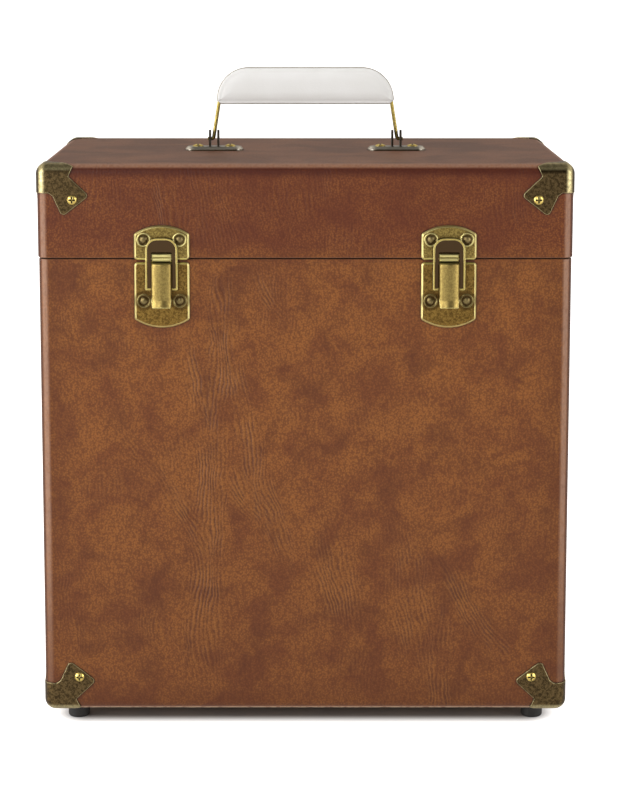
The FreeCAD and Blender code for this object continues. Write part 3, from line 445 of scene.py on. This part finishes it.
def worn_metal(name, field, dark, bright, spots=420.0, speckle=0.5, roughness=0.34, edge_wear_and_highlight=0.75,
               radius=0.0005, hollow_patina_and_shade=0.5, tight=(0.0016, 0.25, 0.75), bevel=0.0, bent=0.0,
               ringed=None, window=None, crown=None, sunk=None, raised=None, above=None):
    """Antiqued metal: a dull mottled field, darkened in its hollows by patina and painted shade, and
    brightened along its edges by polish and painted highlights.

    spots is the scale of its mottling and speckle its strength, worn the polish and painted highlight of
    its edges, radius how far they are rounded, and stain the darkness of its wide hollows, partly patina
    and partly painted shade. tight is the reach of its crevices, which are darkened as painted shade, and
    how far they are shut and clear.
    bevel brightens the slopes round its front with polish and painted highlight, and bent paints highlights
    along the bends of a cap, with painted shade below its top bend and where it faces sideways.
    ringed is the middle in |x| and height of its rivets, their distance from that middle, their radius
    and how far the rings round them are dulled. window is the middle in |x|, half-width, foot and head of
    a patch seen only through the loop, painted nearly black as shade. crown is the middle in |x|,
    half-width and height of a face bowed across its width.
    sunk and raised are the values of y that a face lies behind, to be darkened, and in front of, to be
    given a painted highlight. above is the height over which it is darkened.
    """
    tree = Tree(name)
    edge, rounded = tree.edge(radius)
    crevice_shade = tree.hollow(*tight)
    wide = tree.hollow(*WIDE_HOLLOW)
    cloud = tree.noise(spots, 3.0, 0.62, 0.4)
    small = tree.noise(spots * 3.6, 3.0, 0.6)
    mottle = tree.math("MULTIPLY_ADD", small, 0.45, tree.times(cloud, 0.55))
    colour = tree.mix(tree.step(mottle, 0.42, 0.58, 0.0, speckle), field, dark)
    # Wide hollows darkened, partly patina and partly painted shade
    patina_and_shade = tree.times(wide, tree.step(mottle, 0.30, 0.56, 0.45, 1.0))
    colour = tree.mix(tree.times(patina_and_shade, hollow_patina_and_shade), colour, dark)
    # Painted highlights along a cap's bends, painted shade below its top bend and on its sides
    if bent:
        colour = paint_cap_light_and_shade(tree, colour, bright, mottle, bent)
    if bevel:
        # Front slopes brightened, partly polish and partly painted highlight
        slope = tree.times(tree.band(tree.facing("Y")[0], 0.15, 0.40, 0.86, 0.97), bevel)
        colour = tree.mix(slope, colour, bright)
        crevice_shade = tree.times(crevice_shade, tree.math("SUBTRACT", 1.0, slope))
    if window:
        colour = darken_window(tree, colour, *window)
    if sunk is not None:
        behind = tree.step(tree.axis("Y"), sunk, sunk + SHARP)
        colour = tree.mix(behind, colour, dark)
        edge = tree.times(edge, tree.math("SUBTRACT", 1.0, behind))
    if raised is not None:
        # Painted highlight on what lies in front, such as the hook's front
        ahead = tree.step(tree.axis("Y"), raised - SHARP / 2, raised, 1.0, 0.0)
        colour = tree.mix(tree.times(ahead, 0.8), colour, bright)
    if above is not None:
        over = tree.step(tree.axis("Z"), above, above + BLURRED)
        colour = tree.mix(tree.times(over, 0.9), colour, dark)
        edge = tree.times(edge, tree.step(over, 0.0, 1.0, 1.0, 0.25))
    edge = tree.times(edge, tree.step(mottle, 0.35, 0.60, 1.0, 0.65))
    if ringed:
        colour, edge = ring_rivets(tree, colour, dark, edge, *ringed)
    # Edges brightened, partly polish and partly painted highlight
    colour = tree.mix(tree.times(edge, edge_wear_and_highlight), colour, bright)
    # Painted shade in crevices, nearly black
    colour = tree.mix(tree.times(crevice_shade, 0.97), colour, CREVICE_SHADE)
    rough = tree.math("MULTIPLY_ADD", mottle, 0.25, roughness - 0.10)
    relief = tree.times(small, METAL_GRAIN)
    if crown:
        middle, half, rise = crown
        off = tree.beside(middle)
        relief = tree.math("MULTIPLY_ADD", tree.times(off, off), -rise / half ** 2, relief)
    return tree.finish(Base_Color=colour, Metallic=1.0, Roughness=rough,
                       Normal=tree.bump(relief, rounded))


def plain(name, light, dark, scale, roughness, grain):
    """A matt surface with fine speckle in its colour and height."""
    tree = Tree(name)
    speck = tree.noise(scale, 4.0, 0.65)
    colour = tree.mix(tree.step(speck, 0.35, 0.68), light, dark)
    return tree.finish(Base_Color=colour, Roughness=roughness, Metallic=0.0,
                       Normal=tree.bump(tree.times(speck, grain)))


def grip_leather(name, light, shade):
    """Smooth off-white leatherette with a faint grain, and painted shade in its hollows."""
    tree = Tree(name)
    colour = tree.mix(tree.step(tree.noise(45.0, 3.0), 0.3, 0.7), light, shade)
    # Painted shade in the grip's hollows
    colour = tree.mix(tree.hollow(0.0018), colour, srgb(120, 112, 100))
    relief = tree.times(tree.cells(1100.0), GRIP_GRAIN)
    return tree.finish(Base_Color=colour, Roughness=0.5, Normal=tree.bump(relief),
                       Specular_IOR_Level=0.3)


def rivet_ring(name):
    """A pair of rivets' middle in |x| and height, their distance from that middle and their radius."""
    low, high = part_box(name)
    radius = (high.z - low.z) / 2
    return abs(low.x + high.x) / 2, (low.z + high.z) / 2, (high.x - low.x) / 2 - radius, radius


BRASS, BRASS_DARK, BRASS_BRIGHT = srgb(146, 116, 58), srgb(66, 46, 24), srgb(250, 238, 162)
MATERIALS = {
    "brown_leatherette": leather(
        "brown_leatherette", srgb(140, 86, 37), srgb(112, 63, 28), srgb(72, 34, 16)),
    "board": plain(
        "board", srgb(176, 148, 110), srgb(140, 112, 78), scale=900.0, roughness=0.9, grain=0.00015),
    "lining": plain(
        "lining", srgb(58, 54, 52), srgb(38, 35, 34), scale=1600.0, roughness=0.95, grain=0.00015),
    "collar": plain(
        "collar", srgb(52, 47, 44), srgb(36, 33, 31), scale=1300.0, roughness=0.85, grain=0.00012),
    "cap_brass": worn_metal(
        "cap_brass", srgb(104, 86, 56), srgb(42, 34, 23), srgb(232, 218, 164), spots=480.0,
        speckle=0.80, roughness=0.38, edge_wear_and_highlight=0.60, radius=0.0009, hollow_patina_and_shade=0.3, bent=0.55),
    "latch_brass": worn_metal(
        "latch_brass", BRASS, BRASS_DARK, BRASS_BRIGHT, spots=760.0, speckle=0.75, roughness=0.32,
        edge_wear_and_highlight=0.9, radius=0.0007, bevel=0.75, ringed=(*rivet_ring("base_rivets_left"), 0.6)),
    "rivet_brass": worn_metal(
        "rivet_brass", srgb(134, 118, 78), srgb(84, 70, 46), srgb(178, 160, 112), spots=800.0,
        roughness=0.42),
    "screw_brass": worn_metal(
        "screw_brass", srgb(226, 200, 112), srgb(150, 120, 56), srgb(255, 244, 180), spots=500.0,
        speckle=0.3, roughness=0.28, edge_wear_and_highlight=0.8, radius=0.0003, hollow_patina_and_shade=0.2, tight=(0.0016, 0.80, 1.0)),
    "bracket_steel": worn_metal(
        "bracket_steel", srgb(158, 148, 130), srgb(38, 27, 20), srgb(208, 202, 188), spots=380.0,
        speckle=0.25, hollow_patina_and_shade=0.1, tight=(0.0030, 0.45, 0.95), bevel=0.7, above=bracket_top + 0.0003),
    "hinge_brass": worn_metal(
        "hinge_brass", srgb(170, 146, 84), srgb(96, 76, 40), srgb(244, 228, 160), speckle=0.6),
    "pin_steel": worn_metal(
        "pin_steel", srgb(150, 140, 120), srgb(90, 80, 64), srgb(220, 210, 190), spots=500.0),
    "wire_brass": worn_metal(
        "wire_brass", srgb(164, 146, 82), srgb(76, 60, 28), srgb(226, 210, 140), spots=500.0,
        speckle=0.3, roughness=0.26, edge_wear_and_highlight=0.5),
    "grip_leatherette": grip_leather("grip_leatherette", srgb(221, 221, 220), srgb(217, 217, 215)),
    "foot_rubber": plain(
        "foot_rubber", srgb(34, 32, 31), srgb(20, 19, 18), scale=1500.0, roughness=0.6, grain=0.00006),
}
# Materials of the latches' pieces, which differ from their slots' brass
OWN = {
    "latch_strike": worn_metal(
        "strike_brass", srgb(166, 144, 80), BRASS_DARK, BRASS_BRIGHT, spots=760.0, speckle=0.70,
        roughness=0.30, edge_wear_and_highlight=0.9, radius=0.0007, bevel=0.80,
        ringed=(*rivet_ring("strike_rivets_left"), 0.2), raised=hook_front + 0.00036,
        window=(lever_middle, 6.6 * MM, seam + 2.9 * MM, seam + 5.5 * MM)),
    "latch_loop": worn_metal(
        "loop_brass", srgb(206, 184, 108), srgb(82, 64, 44), BRASS_BRIGHT, spots=400.0, speckle=0.2,
        roughness=0.30, edge_wear_and_highlight=0.95, radius=0.0004, hollow_patina_and_shade=0.2, sunk=bead_front + 0.00035),
    "latch_lever": worn_metal(
        "lever_brass", srgb(158, 138, 80), srgb(100, 80, 44), BRASS_BRIGHT, spots=700.0, speckle=0.50,
        roughness=0.36, edge_wear_and_highlight=0.9, radius=0.0010, hollow_patina_and_shade=0.25, crown=(lever_middle, lever_half, 0.0020)),
}

for name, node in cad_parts.items():
    own = OWN.get(name.rsplit("_", 1)[0])
    for slot in node.material_slots:
        slot.material = own or MATERIALS[slot.material.name.split(".")[0]]


def smooth_piece(name, vertices, faces, materials, picks):
    """A smooth mesh piece, each of whose faces picks one of its materials."""
    mesh = bpy.data.meshes.new(name)
    mesh.from_pydata(vertices, [], faces)
    for material in materials:
        mesh.materials.append(material)
    for polygon, pick in zip(mesh.polygons, picks):
        polygon.use_smooth = True
        polygon.material_index = pick
    piece = bpy.data.objects.new(name, mesh)
    bpy.context.scene.collection.objects.link(piece)
    return piece


def rounded_outline(corners, steps):
    """The points of a closed outline through (x, z, radius) corners, each rounded by its radius."""
    points = []
    for k, (x, z, radius) in enumerate(corners):
        corner = Vector((x, z))
        before = (Vector(corners[k - 1][:2]) - corner).normalized()
        after = (Vector(corners[(k + 1) % len(corners)][:2]) - corner).normalized()
        half = before.angle(after) / 2
        centre = corner + (before + after).normalized() * (radius / math.sin(half))
        start = corner + before * (radius / math.tan(half)) - centre
        turn = math.pi - 2 * half
        for step in range(steps + 1):
            angle = turn * step / steps
            points.append((centre.x + start.x * math.cos(angle) - start.y * math.sin(angle),
                           centre.y + start.x * math.sin(angle) + start.y * math.cos(angle)))
    return points


def grip():
    """The padded grip: a bead round the wire along its top and arcs, and a crowned pad below it."""
    low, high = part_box("handle_grip")
    middle_y = (low.y + high.y) / 2
    half_thick = (high.y - low.y) / 2
    lean = GRIP_SLOPE + 1 / math.cos(math.atan(GRIP_SLOPE)) - 1
    low_half = high.x + GRIP_LOW_ARC * lean
    top_half = low_half - GRIP_SLOPE * (high.z - low.z)
    points = rounded_outline([(-low_half, low.z, GRIP_LOW_ARC), (low_half, low.z, GRIP_LOW_ARC),
                              (top_half, high.z, GRIP_ARC), (-top_half, high.z, GRIP_ARC)], ARC_STEPS)
    edges = [(a, b) for a, b in zip(points, points[1:] + points[:1]) if math.dist(a, b) > 1e-7]

    def depth_at(x, z):
        """How far inside the outline a point is, and whether the nearest edge is the bottom one."""
        best = (1.0, False)
        for (ax, az), (bx, bz) in edges:
            length = math.dist((ax, az), (bx, bz))
            along = ((x - ax) * (bx - ax) + (z - az) * (bz - az)) / length ** 2
            along = max(0.0, min(1.0, along))
            far = math.hypot(x - ax - along * (bx - ax), z - az - along * (bz - az))
            if far < best[0]:
                best = (far, max(az, bz) < low.z + GRIP_LOW_ARC / 2)
        return best

    def thickness(far, bottom):
        """Half the grip's thickness so far inside its outline."""
        reach = HEM if bottom else BEAD
        if far <= reach:
            return math.sqrt(max(0.0, 1 - (1 - far / reach) ** 2)) * reach
        inner = min((far - reach) / PAD_REACH, 1.0)
        crown = reach + (half_thick - reach) * math.sin(inner * math.pi / 2)
        return crown - GROOVE_DEPTH * math.exp(-((far - reach * 1.5) / GROOVE_WIDTH) ** 2)

    def spread(count, ends):
        """Shares from 0 to 1, closer together at both ends."""
        return [(1 - ends) * (k / count) + ends * (1 - math.cos(math.pi * k / count)) / 2
                for k in range(count + 1)]

    def span(x):
        """The outline's lowest and highest point over x."""
        crossings = [az + (bz - az) * (x - ax) / (bx - ax) for (ax, az), (bx, bz) in edges
                     if min(ax, bx) - 1e-9 <= x <= max(ax, bx) + 1e-9 and abs(bx - ax) > 1e-12]
        return min(crossings), max(crossings)

    widest = max(x for x, z in points) - 1e-6
    columns = [(2 * share - 1) * widest for share in spread(COLUMNS, 0.93)]
    rows = spread(ROWS, 0.85)
    vertices, depths, index = [], [], {}
    for i, x in enumerate(columns):
        bottom_z, top_z = span(x)
        for j, share in enumerate(rows):
            z = bottom_z + (top_z - bottom_z) * share
            far, bottom = depth_at(x, z)
            inside = 0 < i < len(columns) - 1 and 0 < j < len(rows) - 1
            thick = thickness(far, bottom) if inside else 0.0
            for side in (-1, 1):
                if thick < 1e-6 and side > 0:
                    index[i, j, side] = index[i, j, -1]
                    continue
                index[i, j, side] = len(vertices)
                vertices.append((x, middle_y + side * thick, z))
                depths.append(far)
    faces, picks = [], []
    for i in range(len(columns) - 1):
        for j in range(len(rows) - 1):
            for side in (-1, 1):
                ring = [index[i, j, side], index[i + 1, j, side],
                        index[i + 1, j + 1, side], index[i, j + 1, side]]
                if side > 0:
                    ring.reverse()
                ring = [v for k, v in enumerate(ring) if v != ring[k - 1]]
                if len(ring) > 2:
                    faces.append(ring)
                    picks.append(int(sum(depths[v] for v in ring) / len(ring) < RIM_WIDTH))
    # The outline's rim: a darker copy of the grip leather, as painted shade
    rim = grip_leather("grip_rim_shade", srgb(168, 162, 150), srgb(140, 132, 118))
    materials = [MATERIALS["grip_leatherette"], rim]
    piece = smooth_piece("grip_pad", vertices, faces, materials, picks)
    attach(piece, "handle")
    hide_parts("handle_grip")


grip()


def add_floor(scene):
    """A white floor that glows as the surround does, but for a shadow under the case."""
    mesh = bpy.data.meshes.new("floor")
    angles = [math.tau * k / FLOOR_CORNERS for k in range(FLOOR_CORNERS)]
    rim = [(FLOOR_RADIUS * math.cos(angle), FLOOR_RADIUS * math.sin(angle), 0.0) for angle in angles]
    mesh.from_pydata(rim, [], [list(range(FLOOR_CORNERS))])
    floor = bpy.data.objects.new("floor", mesh)
    scene.collection.objects.link(floor)
    tree = Tree("floor_white")
    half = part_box("body_covering")[1]
    out = []
    for name, size in zip("XY", half):
        past = tree.math("SUBTRACT", tree.math("ABSOLUTE", tree.axis(name)), size - SHADOW_INSET)
        out.append(tree.larger(past, 0.0))
    far = tree.math("SQRT", tree.math("ADD", *[tree.times(past, past) for past in out]))
    seen = tree.add("LightPath", {}).outputs["Is Camera Ray"]
    near = tree.step(far, *SHADOW_FADE)
    glow = tree.times(near, tree.step(seen, 0.0, 1.0, REFLECTED_GLOW, 1.0))
    white = tree.mix(near, SHADOWED, FLOOR_WHITE)
    mesh.materials.append(tree.finish(Base_Color=white, Roughness=0.9, Specular_IOR_Level=0.1,
                                      Emission_Color=WHITE, Emission_Strength=glow))


def add_soft_boxes(scene):
    for name, place, target, width, height, power in SOFT_BOXES:
        light = bpy.data.lights.new(name, "AREA")
        light.shape = "RECTANGLE"
        light.size, light.size_y, light.energy = width, height, power
        lamp = bpy.data.objects.new(name, light)
        lamp.location = place
        lamp.rotation_euler = (Vector(target) - Vector(place)).to_track_quat("-Z", "Y").to_euler()
        scene.collection.objects.link(lamp)


def add_surround(scene):
    """A surround that is white to the eye, and in reflections bright at both sides and dim in front."""
    world = bpy.data.worlds.new("surround")
    scene.world = world
    world.use_nodes = True
    nodes, links = world.node_tree.nodes, world.node_tree.links
    back = nodes["Background"]
    direction = nodes.new("ShaderNodeTexCoord")
    parts = nodes.new("ShaderNodeSeparateXYZ")
    links.new(direction.outputs["Generated"], parts.inputs[0])

    def ramp(name, start, end, to_start, to_end):
        node = nodes.new("ShaderNodeMapRange")
        node.interpolation_type = "SMOOTHSTEP"
        for socket, number in zip(list(node.inputs)[1:5], (start, end, to_start, to_end)):
            socket.default_value = number
        links.new(parts.outputs[name], node.inputs["Value"])
        return node.outputs["Result"]

    def join(operation, first, second):
        node = nodes.new("ShaderNodeMath")
        node.operation = operation
        links.new(first, node.inputs[0])
        links.new(second, node.inputs[1])
        return node.outputs[0]

    sides = join("ADD", ramp("X", -0.85, -0.35, LEFT_GLOW, 0.0), ramp("X", 0.35, 0.85, 0.0, RIGHT_GLOW))
    depth = ramp("Y", -0.1, 0.6, FRONT_GLOW, BACK_GLOW)
    upper = ramp("Z", 0.42, 0.66, 0.0, UPPER_GLOW)
    overhead = ramp("Z", 0.84, 0.97, 1.0, OVERHEAD)
    lit = join("MULTIPLY", join("ADD", join("ADD", sides, depth), upper), overhead)
    seen = nodes.new("ShaderNodeLightPath").outputs["Is Camera Ray"]
    links.new(join("MAXIMUM", lit, seen), back.inputs["Strength"])
    tint = nodes.new("ShaderNodeMix")
    tint.data_type = "RGBA"
    links.new(seen, tint.inputs[0])
    tint.inputs[6].default_value = WARM
    tint.inputs[7].default_value = WHITE
    links.new(tint.outputs[2], back.inputs["Color"])


def add_camera(scene):
    camera = bpy.data.cameras.new("camera")
    camera.sensor_width = SENSOR
    camera.lens = FOCAL_PIXELS / IMAGE_HEIGHT * SENSOR
    camera.shift_x = (IMAGE_WIDTH / 2 - CENTRE_PIXEL[0]) / IMAGE_HEIGHT
    camera.shift_y = (CENTRE_PIXEL[1] - IMAGE_HEIGHT / 2) / IMAGE_HEIGHT
    viewer = bpy.data.objects.new("camera", camera)
    viewer.location = CAMERA_PLACE
    viewer.rotation_euler = (math.pi / 2 - CAMERA_PITCH, 0.0, 0.0)
    scene.collection.objects.link(viewer)
    scene.camera = viewer


def studio():
    """What the part is seen with: the floor, the lights, the surround and the camera."""
    scene = bpy.context.scene
    scene.view_settings.view_transform = "Standard"
    add_floor(scene)
    add_soft_boxes(scene)
    add_surround(scene)
    add_camera(scene)


studio()
